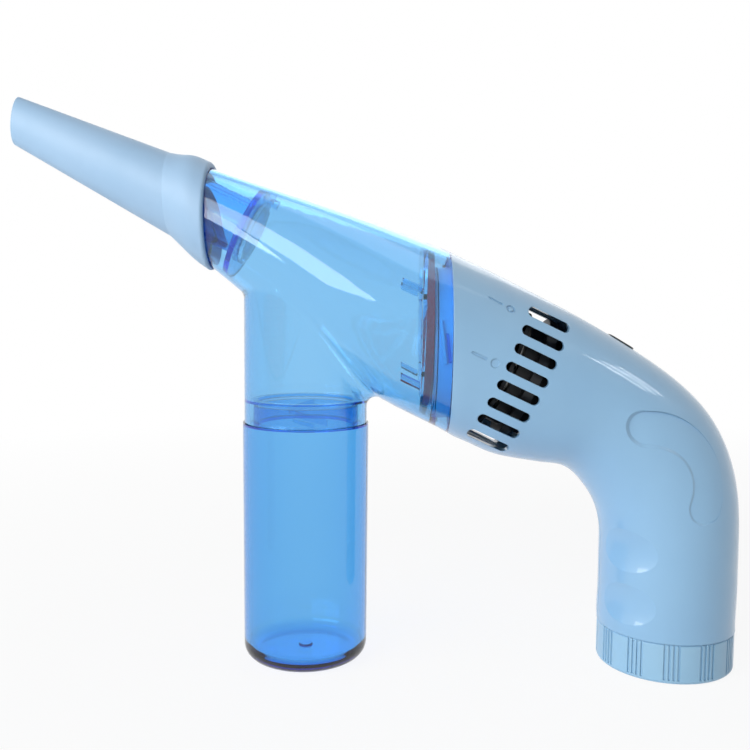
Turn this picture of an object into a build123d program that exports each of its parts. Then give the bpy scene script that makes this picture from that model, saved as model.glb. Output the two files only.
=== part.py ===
from build123d import *
import math
import os

# Handheld vacuum cleaner. All lengths are in millimetres and all angles in degrees.
# The origin is where the axis of the battery cap meets the table, +X is the back of the grip,
# the nozzle points to -X, and +Z is up. The cup and the battery cap both stand on Z = 0.

# Walls and clearances
shell_wall = 2.0
clear_wall = 1.7
seat_gap = 0.2
turn_gap = 0.3
slide_gap = 0.1
root = 0.5
through = 40.0
helix_step = 6.0

# Handle: each section has its top point, its bottom point (X, Z) and its half width
grip_radius = 21.5
grip_straight_top = 36.0
seam_x = -71.7
seam_z = 102.6
seam_radius = 28.7
handle_sections = [
    ((seam_x, seam_z + seam_radius), (seam_x, seam_z - seam_radius), seam_radius),
    ((-48.8, 120.3), (-57.0, 67.4), 26.2),
    ((-28.5, 109.9), (-43.5, 65.0), 23.6),
    ((-12.9, 100.7), (-34.5, 63.6), 22.0),
    ((2.3, 89.9), (-28.6, 58.8), 21.7),
    ((12.9, 78.0), (-24.8, 53.4), 21.6),
    ((18.9, 64.0), (-22.7, 48.4), 21.5),
    ((21.2, 49.4), (-21.6, 42.4), 21.5),
    ((grip_radius, grip_straight_top), (-grip_radius, grip_straight_top), grip_radius),
]
handle_steps = 16

# The barrel's own axis starts at the seam's centre and runs back and down
barrel_tilt = 25.3

# Vents: a row of slots through both sides, in line with the barrel's axis
vent_count = 8
vent_top = 19.5
vent_step = 5.83
vent_along = 23.1
vent_length = 13.8
vent_width = 3.0

# Rests for the thumb, curved round the elbow on both sides: the bed of each is the handle's skin
# swung inward about an upright line, and its wall slopes where the bed is deepest
thumb_rest_path = ((-13.8, 79.0), (1.4, 72.6), (5.4, 54.6))
thumb_rest_width = 13.0
thumb_rest_hinge_x = 14.0
thumb_rest_swing = 1.7
thumb_rest_wall_start = 0.5
thumb_rest_wall_depth = 1.6
thumb_rest_wall_width = 1.9

# Dents for two fingers
finger_dent_heights = (39.0, 22.8)
finger_dent_height = 12.4
finger_dent_half_angle = 26.5
finger_dent_turn = 50.0
finger_dent_depth = 1.1

# Fine groove in the skin where the halves meet
parting_depth = 0.35
parting_width = 0.5

# Marks that show where the housing is locked and where it comes off
mark_angles = (88.0, 49.0)
mark_length = 5.0
mark_width = 0.7
mark_depth = 0.3
mark_setbacks = (5.4, 3.4)
mark_sign_gap = 2.6
mark_dot_radius = 1.3
mark_ring_radius = 1.4
mark_ring_hole = 0.8
mark_cut_start = 15.0

# Ring on the handle's front that the housing locks on
ring_length = 4.0
ring_outer_radius = 23.8
ring_inner_radius = 21.4
ring_plate = 2.0
ring_lead = 20.0
ring_ridge_arc = 30.0
ring_lug_arc = 18.0
ring_lug_count = 3
ring_lug_thickness = 0.9
ring_lug_setback = 0.7
ring_lug_height = 1.1
ring_lug_start = 20.0
ring_ridge_back = 2.0
inlet_slot_count = 16
inlet_slot_inner = 5.0
inlet_slot_outer = 17.0
inlet_slot_width = 1.8

# Housing
housing_mid_x = -97.0
housing_mid_z = 113.8
housing_mid_radius = 26.8
housing_steps = 6
neck_x = -146.4
neck_z = 141.1
neck_radius = 15.6
neck_end_x = -149.4
neck_end_z = 142.65
neck_end_radius = 15.05
locating_rib_angles = (62.0, 128.0, -128.0, -62.0)
locating_rib_length = 6.4
locating_rib_gap = 0.2
locating_rib_height = 1.8
locating_rib_width = 1.6

# Inlet tube inside the neck, on its own tilted axis through its rear end
inlet_tilt = 25.3
inlet_x = -134.0
inlet_z = 137.2
inlet_radius = 9.0
inlet_wall = 2.2
inlet_length = 26.4
inlet_flange_wall = 1.8

# Flap behind the inlet tube
flap_radius = 10.6
flap_thickness = 1.2
flap_gap = 0.3
flap_pivot_height = 11.4
flap_pin_radius = 0.8
flap_pin_half_length = 6.3
flap_hole_gap = 0.06
flap_ear_thickness = 1.6
flap_ear_gap = 0.4
flap_ear_length = 3.2
flap_ear_height = 3.0
flap_web_height = 3.2
flap_web_margin = 0.5

# Nozzle
nozzle_wall = 1.6
nozzle_end = (-213.0, 173.4, 7.35, 4.3)
nozzle_taper_start = (-159.6, 148.5, 13.05, 12.9)
collar_sections = [
    nozzle_taper_start,
    (-156.8, 146.9, 14.2, 14.1),
    (-151.6, 144.2, 16.4, 16.2),
    (neck_x, 141.3, 17.2, 17.2),
]
collar_steps = 6
collar_edge = 1.0
nozzle_tip_x = -208.4
nozzle_tip_z = 171.1
nozzle_tip_lean = 7.0
nozzle_socket_depth = 30.0
nozzle_join_length = 6.0
neck_room_front = 5.0
neck_room_back = 2.0
neck_room_step = 1.5

# Cup and its socket in the housing
cup_x = -117.0
cup_rim_z = 76.9
cup_radius = 20.15
cup_foot_radius = 19.9
cup_wall = 1.6
cup_floor = 3.0
cup_foot_fillet = 5.0
cup_gate_radius = 2.3
cup_gate_height = 0.6
cup_gate_edge = 0.5
cup_neck_radius = 16.8
cup_neck_height = 5.5
cup_shoulder_wall = 1.0
socket_radius = 18.0
socket_outer_radius = 19.6
socket_top_z = 126.0
socket_fillet = 3.0
socket_ledge_radius = 15.4
socket_ledge_wall = 0.8
cup_lead = 32.0
cup_lug_count = 2
cup_lug_arc = 31.0
cup_ridge_arc = 20.0
cup_lug_thickness = 1.9
cup_ridge_thickness = 1.1
cup_lug_height = 0.95
cup_lug_low = 1.6
cup_lug_start = 63.5
cup_ridge_back = 2.0
cup_seal_thickness = 0.8
cup_seal_inner_radius = 14.8

# Filter between the housing and the handle
filter_gap = 0.3
filter_seal_thickness = 0.8
holder_length = 3.4
holder_rib_width = 1.6
holder_window_radius = 20.5
filter_radius = 24.2
filter_lift = 2.9
filter_seat_gap = 0.15
filter_rim_width = 2.5
filter_pleats = 13
filter_depth = 2.2
filter_sheet = 0.9

# Fan and motor, placed along the barrel's axis from the seam's centre
fan_start = 12.6
fan_radius = 19.6
fan_depth = 7.0
fan_plate = 1.2
fan_blades = 9
fan_blade_wall = 1.1
fan_hub_radius = 4.0
fan_blade_middle = (12.0, 3.4)
fan_blade_end = (19.2, 7.0)
motor_start = 22.2
motor_radius = 12.2
motor_can_length = 28.0
motor_can_wall = 0.8
motor_can_fillet = 1.0
motor_cap_length = 2.6
motor_cap_spigot = 2.0
motor_cap_spigot_wall = 2.6
motor_boss_radius = 3.0
motor_boss_length = 1.6
motor_shaft_radius = 1.0
motor_bore_gap = 0.03
armature_radius = 8.2
armature_start = 4.0
armature_length = 15.0
armature_slots = 5
armature_slot_width = 1.6
armature_slot_depth = 3.6
magnet_wall = 2.2
magnet_arc = 140.0
terminal_length = 4.0
terminal_width = 2.4
terminal_thickness = 0.5
terminal_offset = 8.6
drum_start = 21.2
drum_length = 11.2
drum_radius = 16.6
drum_wall = 1.4
drum_front_wall = 1.6
drum_rim_start = 25.4
drum_rim_length = 3.2
drum_rim_radius = 20.5
cradle_start = 33.0
cradle_length = 7.0
cradle_wall = 2.0
cradle_rib_width = 2.4
cradle_arm_angle = 25.0

# Screws that close the clamshell: (X, Z) of each, driven from the far side
screw_places = [(-55.5, 116.6), (-46.6, 71.6), (3.0, 79.4)]
screw_shank_radius = 1.1
screw_head_radius = 2.3
screw_head_height = 1.6
screw_reach = 7.0
screw_length = 6.5
screw_cross_length = 2.6
screw_cross_width = 0.7
screw_cross_depth = 0.9
boss_radius = 2.9
boss_hole_gap = 0.25
boss_start = 1.5

# Slide switch on the top of the handle
switch_x = -17.2
switch_z = 103.2
switch_slope = 30.6
button_length = 9.0
button_width = 6.4
button_proud = 0.4
button_sunk = 0.5
button_travel = 3.2
button_corner = 1.7
button_edge = 0.3
button_grooves = 5
button_groove_step = 1.4
button_groove_width = 0.5
button_groove_depth = 0.3
button_groove_margin = 0.8
stem_length = 3.0
stem_width = 2.2
stem_reach = 4.6
recess_corner = 2.0
recess_top = 6.0
switch_length = 12.0
switch_body_width = 6.4
switch_depth = 4.4
switch_wall = 0.9
switch_drop = 3.4
switch_ear_length = 2.5
switch_ear_thickness = 1.0
switch_leg_length = 2.6
switch_leg_offset = 1.7
switch_leg_width = 1.4
switch_leg_thickness = 0.5

# Four cells in a bundle inside the grip
cell_radius = 7.1
cell_length = 49.4
cell_nub_radius = 2.7
cell_nub_height = 1.1
cell_offset = 7.25
cell_bottom = 13.2
sleeve_bottom = 19.0
sleeve_top = 58.0
carrier_thickness = 1.6
carrier_half = 14.6
carrier_corner = 6.0
carrier_shift = -1.4
contact_thickness = 0.4
contact_width = 6.0
contact_gap = 0.05
contact_tag_x = -9.0
contact_tag_width = 2.6
contact_tag_height = 4.6
contact_length = 20.5

# Battery cap
cap_height = 12.4
cap_radius = 21.3
cap_floor = 2.2
cap_wall = 1.8
cap_foot_fillet = 1.3
cap_edge = 0.4
cap_spigot_length = 5.2
cap_spigot_radius = 18.7
cap_spigot_inner = 17.6
cap_lead = 20.0
cap_lug_count = 3
cap_lug_arc = 24.0
cap_ridge_arc = 40.0
cap_ridge_back = 4.0
cap_step_height = 2.0
cap_lug_thickness = 1.0
cap_lug_height = 0.5
cap_lug_setback = 4.2
cap_rib_groups = 12
cap_grooves_per_group = 4
cap_groove_first = -10.0
cap_groove_step = 3.8
cap_groove_width = 0.7
cap_groove_depth = 0.45
cap_groove_low = 1.3
cap_plate_radius = 16.6
cap_plate_thickness = 0.8
cap_spring_wire = 0.35
cap_spring_radius = 3.2
cap_spring_turns = 3

# Wires
lead_radius = 0.65
lead_bend = 1.8
lead_straight = 6.0
lead_red_middle = (-8.0, 6.0, 84.0)
lead_switch_middle = (-4.6, 1.0, 80.0)

TURN = 360.0
half_space = 1000.0


def section_plane(top, bottom):
    """Plane across the handle between a top and a bottom point, facing the grip's end."""
    middle = ((top[0] + bottom[0]) / 2, 0, (top[1] + bottom[1]) / 2)
    rise = (top[0] - bottom[0], 0, top[1] - bottom[1])
    facing = (rise[2], 0, -rise[0])
    return Plane(origin=middle, x_dir=(0, 1, 0), z_dir=facing)


def handle_section(top, bottom, half_width, inset):
    """Oval section of the handle, made smaller all round by the inset."""
    half_chord = math.dist(top, bottom) / 2
    return section_plane(top, bottom) * Ellipse(half_width - inset, half_chord - inset)


def even_rows(rows, steps):
    """Rows of numbers at even steps along a smooth curve through the given rows."""
    spans = [math.dist(first, second) for first, second in zip(rows, rows[1:])]
    marks = [sum(spans[:number]) for number in range(len(rows))]
    rates = [[(b - a) / span for a, b in zip(first, second)]
             for first, second, span in zip(rows, rows[1:], spans)]
    slopes = [rates[0]]
    for number in range(1, len(rows) - 1):
        before, after = spans[number - 1], spans[number]
        slopes.append([(a * after + b * before) / (before + after)
                       for a, b in zip(rates[number - 1], rates[number])])
    slopes.append(rates[-1])
    result = []
    for step in range(steps + 1):
        mark = marks[-1] * step / steps
        number = max(n for n in range(len(spans)) if marks[n] <= mark)
        span = spans[number]
        t = (mark - marks[number]) / span
        result.append([
            (1 + 2 * t) * (1 - t) ** 2 * a + t * (1 - t) ** 2 * span * slope_a
            + t ** 2 * (3 - 2 * t) * b + t ** 2 * (t - 1) * span * slope_b
            for a, b, slope_a, slope_b in zip(
                rows[number], rows[number + 1], slopes[number], slopes[number + 1])])
    return result


def handle_solid(inset, bottom_z):
    """Solid of the handle's skin, or of the space inside it, down to bottom_z."""
    rows = [(*top, *bottom, half_width) for top, bottom, half_width in handle_sections]
    rows.append((grip_radius, bottom_z, -grip_radius, bottom_z, grip_radius))
    places = [((row[0], row[1]), (row[2], row[3]), row[4]) for row in even_rows(rows, handle_steps)]
    return loft([handle_section(*place, inset) for place in places])


def barrel_plane(along):
    """Plane square to the barrel's axis, facing the motor's rear, with Y pointing up."""
    tilt = math.radians(barrel_tilt)
    start = (seam_x + along * math.cos(tilt), 0, seam_z - along * math.sin(tilt))
    return Plane(origin=start, x_dir=(0, 1, 0), z_dir=(math.cos(tilt), 0, -math.sin(tilt)))


def barrel_side(along, angle, radius):
    """Plane facing outward from the barrel's axis, X along the axis, angle from the top."""
    tilt = math.radians(barrel_tilt)
    turn = math.radians(angle)
    axis = Vector(math.cos(tilt), 0, -math.sin(tilt))
    upward = Vector(math.sin(tilt), 0, math.cos(tilt))
    outward = upward * math.cos(turn) + Vector(0, -1, 0) * math.sin(turn)
    place = Vector(seam_x, 0, seam_z) + axis * along + outward * radius
    return Plane(origin=place, x_dir=axis, z_dir=outward)


def front_plane(ahead=0.0, rise=0.0):
    """Plane at the seam or ahead of it that faces the nozzle, with X pointing up."""
    return Plane(origin=(seam_x - ahead, 0, seam_z + rise), x_dir=(0, 0, 1), z_dir=(-1, 0, 0))


def cup_plane():
    """Plane at the cup's rim that faces down, with X pointing back."""
    return Plane(origin=(cup_x, 0, cup_rim_z), x_dir=(1, 0, 0), z_dir=(0, 0, -1))


def cap_plane():
    """Plane at the battery cap's rim that faces down, with X pointing back."""
    return Plane(origin=(0, 0, cap_height), x_dir=(1, 0, 0), z_dir=(0, 0, -1))


def inlet_plane(ahead=0.0):
    """Plane square to the inlet tube, facing the nozzle, with Y pointing up."""
    tilt = math.radians(inlet_tilt)
    forward = (-math.cos(tilt), 0, math.sin(tilt))
    start = (inlet_x + ahead * forward[0], 0, inlet_z + ahead * forward[2])
    return Plane(origin=start, x_dir=(0, -1, 0), z_dir=forward)


def disc(radius, start, length):
    """Cylinder about Z from start to start + length."""
    return Pos(0, 0, start) * extrude(Circle(radius), length)


def ring(outer, inner, start, length):
    """Ring about Z from start to start + length."""
    return Pos(0, 0, start) * extrude(Circle(outer) - Circle(inner), length)


def block(size_x, size_y, start, length):
    """Box about Z from start to start + length."""
    return Pos(0, 0, start) * extrude(Rectangle(size_x, size_y), length)


def helix_ridge(inner, outer, middle, thickness, first, arc, lead):
    """Ridge that climbs a helix about Z: its middle height at the first angle, then lead per turn."""
    steps = round(abs(arc) / helix_step) + 1
    sections = []
    for step in range(steps + 1):
        angle = arc * step / steps
        height = middle + lead * abs(angle) / TURN
        lift = Pos(0, 0, height) * Rot(0, 0, first + angle)
        corners = [(inner, 0, -thickness / 2), (outer, 0, -thickness / 2),
                   (outer, 0, thickness / 2), (inner, 0, thickness / 2)]
        sections.append(lift * make_face(Polyline(*corners, close=True)))
    return loft(sections, ruled=True)


def split_side(solid, side):
    """The part of a solid on one side of the middle plane: -1 is the near side, 1 the far side."""
    return solid & (Pos(0, side * half_space / 2, 0) * Box(half_space, half_space, half_space))


def handle_cavity(gap):
    """Space inside the handle, drawn in from its wall by a gap."""
    return handle_solid(shell_wall + gap, cap_height)


def side_cut(face):
    """A face drawn in X and Z, made a solid through both sides of the handle."""
    return extrude(Plane.XZ * face, through, both=True)


def vent_cuts():
    """Slots through both sides of the barrel, in line with its axis."""
    tilt = math.radians(barrel_tilt)
    cuts = []
    for number in range(vent_count):
        up = vent_top - number * vent_step
        x = seam_x + vent_along * math.cos(tilt) + up * math.sin(tilt)
        z = seam_z - vent_along * math.sin(tilt) + up * math.cos(tilt)
        slot = Pos(x, z) * Rot(0, 0, -barrel_tilt) * SlotOverall(vent_length, vent_width)
        cuts.append(side_cut(slot))
    return cuts


def thumb_rest(side):
    """Hollow round the elbow on one side, deepest at its front end and fading out behind."""
    path = ThreePointArc(*thumb_rest_path)
    wide = make_face(offset(path, thumb_rest_width / 2))
    narrow = make_face(offset(path, thumb_rest_width / 2 - thumb_rest_wall_width))
    top = Plane.XZ.offset(-side * (grip_radius + thumb_rest_wall_start))
    foot = top.offset(side * thumb_rest_wall_depth)
    slope = loft([top * wide, foot * narrow], ruled=True)
    above = extrude(top * wide, seam_radius, dir=(0, side, 0))
    below = extrude(foot * narrow, grip_radius / 2, dir=(0, -side, 0))
    hinge = Pos(thumb_rest_hinge_x, side * grip_radius)
    bed = hinge * Rot(0, 0, side * thumb_rest_swing) * hinge.inverse() * handle_solid(0, cap_height)
    return above + slope + below - bed


def parting_groove():
    """Groove all round the handle in the middle plane."""
    bed = handle_solid(parting_depth, cap_height)
    return Box(half_space, parting_width, half_space) - bed


def finger_dents():
    """Shallow rings that dent the front corners of the grip, above each other."""
    chord = grip_radius * math.sin(math.radians(finger_dent_half_angle))
    rise = grip_radius * (1 - math.cos(math.radians(finger_dent_half_angle)))
    flat_rise = rise - finger_dent_depth
    bed_radius = (chord ** 2 + flat_rise ** 2) / (2 * flat_rise)
    half_height = finger_dent_height / 2
    bead = (half_height ** 2 + finger_dent_depth ** 2) / (2 * finger_dent_depth)
    shift = bed_radius - (grip_radius - finger_dent_depth)
    dents = []
    for height in finger_dent_heights:
        for side in (-1, 1):
            turn = Rot(0, 0, 180 - side * (90 - finger_dent_turn))
            dents.append(Pos(0, 0, height) * turn * Pos(-shift, 0, 0)
                         * Torus(bed_radius + bead, bead))
    return dents


def mark_cuts():
    """Short lines on the near side, one ending in a dot and one in a ring."""
    cuts = []
    for number, angle in enumerate(mark_angles):
        plane = barrel_side(mark_setbacks[number], angle, mark_cut_start)
        line = Pos(mark_length / 2, 0) * SlotOverall(mark_length, mark_width)
        dot = Circle(mark_dot_radius)
        loop = Circle(mark_ring_radius) - Circle(mark_ring_hole)
        sign = Pos(mark_length + mark_sign_gap, 0) * (dot, loop)[number]
        cuts.append(plane * extrude(line + sign, through))
    return cuts


def marked(shell):
    """The shell with its marks cut to their depth."""
    core = handle_solid(mark_depth, cap_height)
    for cut in mark_cuts():
        shell = shell - (cut - core)
    return shell


def boss_plane(place, side):
    """Plane at a screw's place that faces one side wall."""
    return Plane(origin=(place[0], 0, place[1]), x_dir=(1, 0, 0), z_dir=(0, side, 0))


def cap_ridges():
    """Ridges inside the grip's end that the battery cap's lugs pass behind."""
    middle = -cap_lug_setback + cap_lug_thickness + turn_gap
    ridges = []
    for number in range(cap_lug_count):
        first = number * TURN / cap_lug_count
        ridges.append(cap_plane() * helix_ridge(
            cap_spigot_radius + turn_gap, grip_radius - shell_wall / 2, middle,
            cap_lug_thickness, first - cap_ridge_back, cap_ridge_arc, cap_lead))
    return ridges


def switch_plane():
    """Plane on the handle's top under the button, X running back and down."""
    slope = math.radians(switch_slope)
    return Plane(origin=(switch_x, 0, switch_z), x_dir=(math.cos(slope), 0, -math.sin(slope)),
                 z_dir=(math.sin(slope), 0, math.cos(slope)))


def switch_cuts():
    """Recess for the button's travel and the slot for its stem."""
    middle = -button_travel / 2
    recess = Pos(middle, 0, -button_sunk - seat_gap) * extrude(
        RectangleRounded(button_length + button_travel + 2 * turn_gap,
                         button_width + 2 * turn_gap, recess_corner), recess_top)
    slot = Pos(middle, 0) * block(stem_length + button_travel + 2 * turn_gap,
                                  stem_width + 2 * turn_gap, -recess_top, 2 * recess_top)
    return [switch_plane() * recess, switch_plane() * slot]


def handle_half(side):
    """One half of the clamshell: -1 is the near half, 1 the far half."""
    skin = handle_solid(0, cap_height + seat_gap) - handle_cavity(0)
    grooves = [parting_groove(), thumb_rest(side)]
    for cut in vent_cuts() + switch_cuts() + finger_dents() + grooves:
        skin = skin - cut
    for ridge in cap_ridges():
        skin = skin + ridge
    half = split_side(skin, side)
    inside = handle_solid(shell_wall / 2, cap_height)
    for place in screw_places:
        plane = boss_plane(place, side)
        boss = plane * disc(boss_radius, 0, through)
        half = half + (boss & inside)
    for place in screw_places:
        plane = boss_plane(place, side)
        if side > 0:
            half = half - plane * disc(screw_shank_radius + boss_hole_gap, 0, through)
            half = half - plane * disc(screw_head_radius + boss_hole_gap, boss_start, through)
        else:
            half = half - plane * disc(screw_shank_radius, 0, screw_reach)
    return half


def handle_left():
    """Near half of the handle, with the marks."""
    return marked(handle_half(-1))


def handle_right():
    """Far half of the handle, with the screw holes."""
    return handle_half(1)


def case_screws():
    """Screws that close the clamshell."""
    screws = []
    for place in screw_places:
        far = boss_plane(place, 1)
        near = boss_plane(place, -1)
        shank = far * disc(screw_shank_radius, 0, boss_start)
        shank = shank + near * disc(screw_shank_radius, 0, screw_length)
        head = far * disc(screw_head_radius, boss_start, screw_head_height)
        low = boss_start + screw_head_height - screw_cross_depth
        upright = far * block(screw_cross_width, screw_cross_length, low, screw_cross_depth)
        level = far * block(screw_cross_length, screw_cross_width, low, screw_cross_depth)
        screws.append(shank + head - upright - level)
    return screws


def front_ring_ridges():
    """Ridges on the ring that hold the housing's lugs until it is turned."""
    middle = ring_lug_setback + ring_lug_thickness + turn_gap
    ridges = []
    for number in range(ring_lug_count):
        first = ring_lug_start + number * TURN / ring_lug_count
        ridges.append(helix_ridge(
            ring_outer_radius - root, ring_outer_radius + ring_lug_height, middle,
            ring_lug_thickness, first - ring_ridge_back, ring_ridge_arc, ring_lead))
    return ridges


def fan_cover():
    """Ring and inlet plate that both halves of the handle hold at the front."""
    body = ring(ring_outer_radius, ring_inner_radius, -ring_plate, ring_plate + ring_length)
    body = body + disc(ring_outer_radius, -ring_plate, ring_plate)
    for ridge in front_ring_ridges():
        body = body + ridge
    for number in range(inlet_slot_count):
        angle = number * TURN / inlet_slot_count
        middle = (inlet_slot_inner + inlet_slot_outer) / 2
        slot = SlotOverall(inlet_slot_outer - inlet_slot_inner, inlet_slot_width)
        body = body - Rot(0, 0, angle) * Pos(middle, 0, -ring_plate) * extrude(slot, ring_plate)
    tongue = ring(seam_radius, ring_outer_radius - root, -ring_plate, ring_plate - seat_gap)
    inside = handle_cavity(seat_gap) + front_plane() * disc(seam_radius, 0, ring_length)
    return (front_plane() * (body + tongue)) & inside


def impeller():
    """Backplate, hub and curved blades, open to the front."""
    body = disc(fan_radius, fan_depth - fan_plate, fan_plate) + disc(fan_hub_radius, 0, fan_depth)
    for number in range(fan_blades):
        path = ThreePointArc((fan_hub_radius - root, 0), fan_blade_middle, fan_blade_end)
        outline = make_face(offset(path, fan_blade_wall / 2))
        blade = extrude(outline, fan_depth - fan_plate / 2)
        body = body + Rot(0, 0, number * TURN / fan_blades) * blade
    body = body & disc(fan_radius, 0, fan_depth)
    body = body - disc(motor_shaft_radius, 0, fan_depth)
    return barrel_plane(fan_start) * body


def motor_shaft():
    """Shaft through the motor, carrying the impeller at its front."""
    length = motor_start + motor_can_length + motor_cap_length - fan_start
    return barrel_plane(fan_start) * disc(motor_shaft_radius, 0, length)


def motor_can():
    """Steel can of the motor, open at the rear, with its front boss."""
    bore = motor_shaft_radius + motor_bore_gap
    body = disc(motor_radius, 0, motor_can_length)
    body = fillet(body.edges().sort_by(Axis.Z)[0], motor_can_fillet)
    body = body - disc(motor_radius - motor_can_wall, motor_can_wall, motor_can_length)
    body = body + ring(motor_boss_radius, bore, -motor_boss_length, motor_boss_length)
    return barrel_plane(motor_start) * (body - disc(bore, -motor_boss_length, through))


def motor_endcap():
    """Plastic cap that closes the motor's rear."""
    bore = motor_shaft_radius + motor_bore_gap
    body = ring(motor_radius, bore, 0, motor_cap_length)
    spigot_radius = motor_radius - motor_can_wall
    body = body + ring(spigot_radius, spigot_radius - motor_cap_spigot_wall, -motor_cap_spigot,
                       motor_cap_spigot)
    for side in (-1, 1):
        slot = Pos(side * terminal_offset, 0, 0) * block(
            terminal_thickness, terminal_width, 0, motor_cap_length)
        body = body - slot
    return barrel_plane(motor_start + motor_can_length) * body


def motor_terminals():
    """Two brass tabs through the motor's end cap."""
    tabs = []
    for side in (-1, 1):
        tab = block(terminal_thickness, terminal_width, 0, motor_cap_length + terminal_length)
        tabs.append(barrel_plane(motor_start + motor_can_length)
                    * Pos(side * terminal_offset, 0, 0) * tab)
    return tabs


def motor_magnets():
    """Two arc magnets on the can's inner wall."""
    outer = motor_radius - motor_can_wall
    arc = ring(outer, outer - magnet_wall, armature_start, armature_length)
    half = math.radians(magnet_arc / 2)
    side = through * math.tan(half)
    wedge = make_face(Polyline((0, 0), (side, through), (-side, through), close=True))
    magnet = arc & extrude(wedge, through)
    return [barrel_plane(motor_start) * Rot(0, 0, turn) * magnet for turn in (0, 180)]


def armature():
    """Slotted rotor core on the shaft."""
    body = ring(armature_radius, motor_shaft_radius, armature_start, armature_length)
    for number in range(armature_slots):
        groove = Pos(armature_radius, 0) * block(
            2 * armature_slot_depth, armature_slot_width, 0, through)
        body = body - Rot(0, 0, number * TURN / armature_slots) * groove
    return barrel_plane(motor_start) * body


def motor_cradle():
    """Drum round the motor with a rim, and four arms that hold it in the handle."""
    inner = motor_radius + slide_gap
    end = cradle_start + cradle_length
    drum_bore = drum_radius - drum_wall
    body = disc(inner + cradle_wall, drum_start, end - drum_start)
    body = body + ring(drum_radius, drum_bore, drum_start, drum_length)
    body = body + disc(drum_radius, drum_start, drum_front_wall)
    body = body + ring(drum_rim_radius, drum_bore, drum_rim_start, drum_rim_length)
    for side in (0, 180):
        for angle in (-cradle_arm_angle, cradle_arm_angle):
            arm = Rot(0, 0, side + angle) * Pos((inner + seam_radius) / 2, 0) * block(
                seam_radius - inner, cradle_rib_width, cradle_start, cradle_length)
            body = body + arm
    return (barrel_plane(0) * (body - disc(inner, 0, end))) & handle_cavity(seat_gap)


def switch_button():
    """Slide button on the handle's top, with ridges and a stem."""
    pad = Pos(0, 0, -button_sunk) * extrude(
        RectangleRounded(button_length, button_width, button_corner), button_sunk + button_proud)
    pad = fillet(pad.edges().group_by(Axis.Z)[-1], button_edge)
    for number in range(button_grooves):
        x = (number - (button_grooves - 1) / 2) * button_groove_step
        pad = pad - Pos(x, 0) * block(button_groove_width, button_width - 2 * button_groove_margin,
                                      button_proud - button_groove_depth, button_groove_depth)
    stem = block(stem_length, stem_width, -button_sunk - stem_reach, stem_reach)
    return switch_plane() * (pad + stem)


def switch_body():
    """Open box of the slide switch under the handle's top."""
    middle = -button_travel / 2
    top = -switch_drop
    body = Pos(middle, 0) * block(switch_length, switch_body_width, top - switch_depth, switch_depth)
    room = Pos(middle, 0) * block(stem_length + button_travel + 2 * turn_gap,
                                  stem_width + 2 * turn_gap, top - switch_depth + switch_wall,
                                  switch_depth)
    ears = Pos(middle, 0) * block(switch_length + 2 * switch_ear_length, switch_body_width,
                                  top - switch_ear_thickness, switch_ear_thickness)
    return switch_plane() * (body + ears - room)


def switch_leg(side):
    """Place of a brass leg's outer end, in the switch plane: -1 is the near leg, 1 the far one."""
    end = -button_travel / 2 + switch_length / 2 + switch_leg_length
    return (end, side * switch_leg_offset, -switch_drop - switch_depth / 2)


def switch_contacts():
    """Two brass legs at the switch's rear end."""
    legs = []
    for side in (-1, 1):
        x, y, z = switch_leg(side)
        leg = Pos(x - switch_leg_length / 2, y, z) * Box(
            switch_leg_length, switch_leg_width, switch_leg_thickness)
        legs.append(switch_plane() * leg)
    return legs


def cell_places():
    """Centres of the four cells round the grip's axis."""
    return [(-cell_offset, -cell_offset), (cell_offset, -cell_offset),
            (cell_offset, cell_offset), (-cell_offset, cell_offset)]


def battery_cell(number):
    """One cell, with its nub up on every second cell."""
    place = cell_places()[number]
    body = disc(cell_radius, 0, cell_length) + disc(cell_nub_radius, cell_length, cell_nub_height)
    if number % 2 == 1:
        body = Pos(0, 0, cell_length + cell_nub_height) * Rot(180, 0, 0) * body
    return Pos(place[0], place[1], cell_bottom) * body


def battery_sleeve():
    """Sleeve inside the grip with a bore for each cell."""
    body = disc(grip_radius - shell_wall - seat_gap, sleeve_bottom, sleeve_top - sleeve_bottom)
    for place in cell_places():
        body = body - Pos(place[0], place[1]) * disc(cell_radius + seat_gap, 0, sleeve_top)
    body = body - block(2 * cell_offset, 2 * cell_offset, 0, sleeve_top)
    return body & handle_cavity(seat_gap)


def cells_top():
    """Height of the cells' upper ends."""
    return cell_bottom + cell_length + cell_nub_height


def tag_place(side):
    """Place of an upper contact's tag: -1 is the near one, 1 the far one."""
    return (contact_tag_x, side * cell_offset, cells_top() + contact_gap + contact_tag_height)


def contact_carrier():
    """Plate above the cells that holds the upper contacts."""
    low = cells_top() + contact_gap + contact_thickness
    plate = Pos(carrier_shift, 0, low) * extrude(
        RectangleRounded(2 * carrier_half, 2 * carrier_half, carrier_corner), carrier_thickness)
    for side in (-1, 1):
        x, y, top = tag_place(side)
        plate = plate - Pos(x, y) * block(contact_thickness + seat_gap,
                                          contact_tag_width + seat_gap, low, carrier_thickness)
    return plate & handle_cavity(seat_gap)


def upper_contacts():
    """Two plates above the cells, each over one pair, with a tag that stands up."""
    plates = []
    low = cells_top() + contact_gap
    for side in (-1, 1):
        x, y, top = tag_place(side)
        plate = Pos(0, y) * block(contact_length, contact_width, low, contact_thickness)
        tag = Pos(x, y) * block(contact_thickness, contact_tag_width, low, contact_tag_height)
        plates.append(plate + tag)
    return plates


def cap_lugs():
    """Lugs on the battery cap's spigot."""
    lugs = []
    for number in range(cap_lug_count):
        first = number * TURN / cap_lug_count
        lugs.append(cap_plane() * helix_ridge(
            cap_spigot_radius - root, cap_spigot_radius + cap_lug_height, -cap_lug_setback,
            cap_lug_thickness, first, cap_lug_arc, cap_lead))
    return lugs


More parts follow.
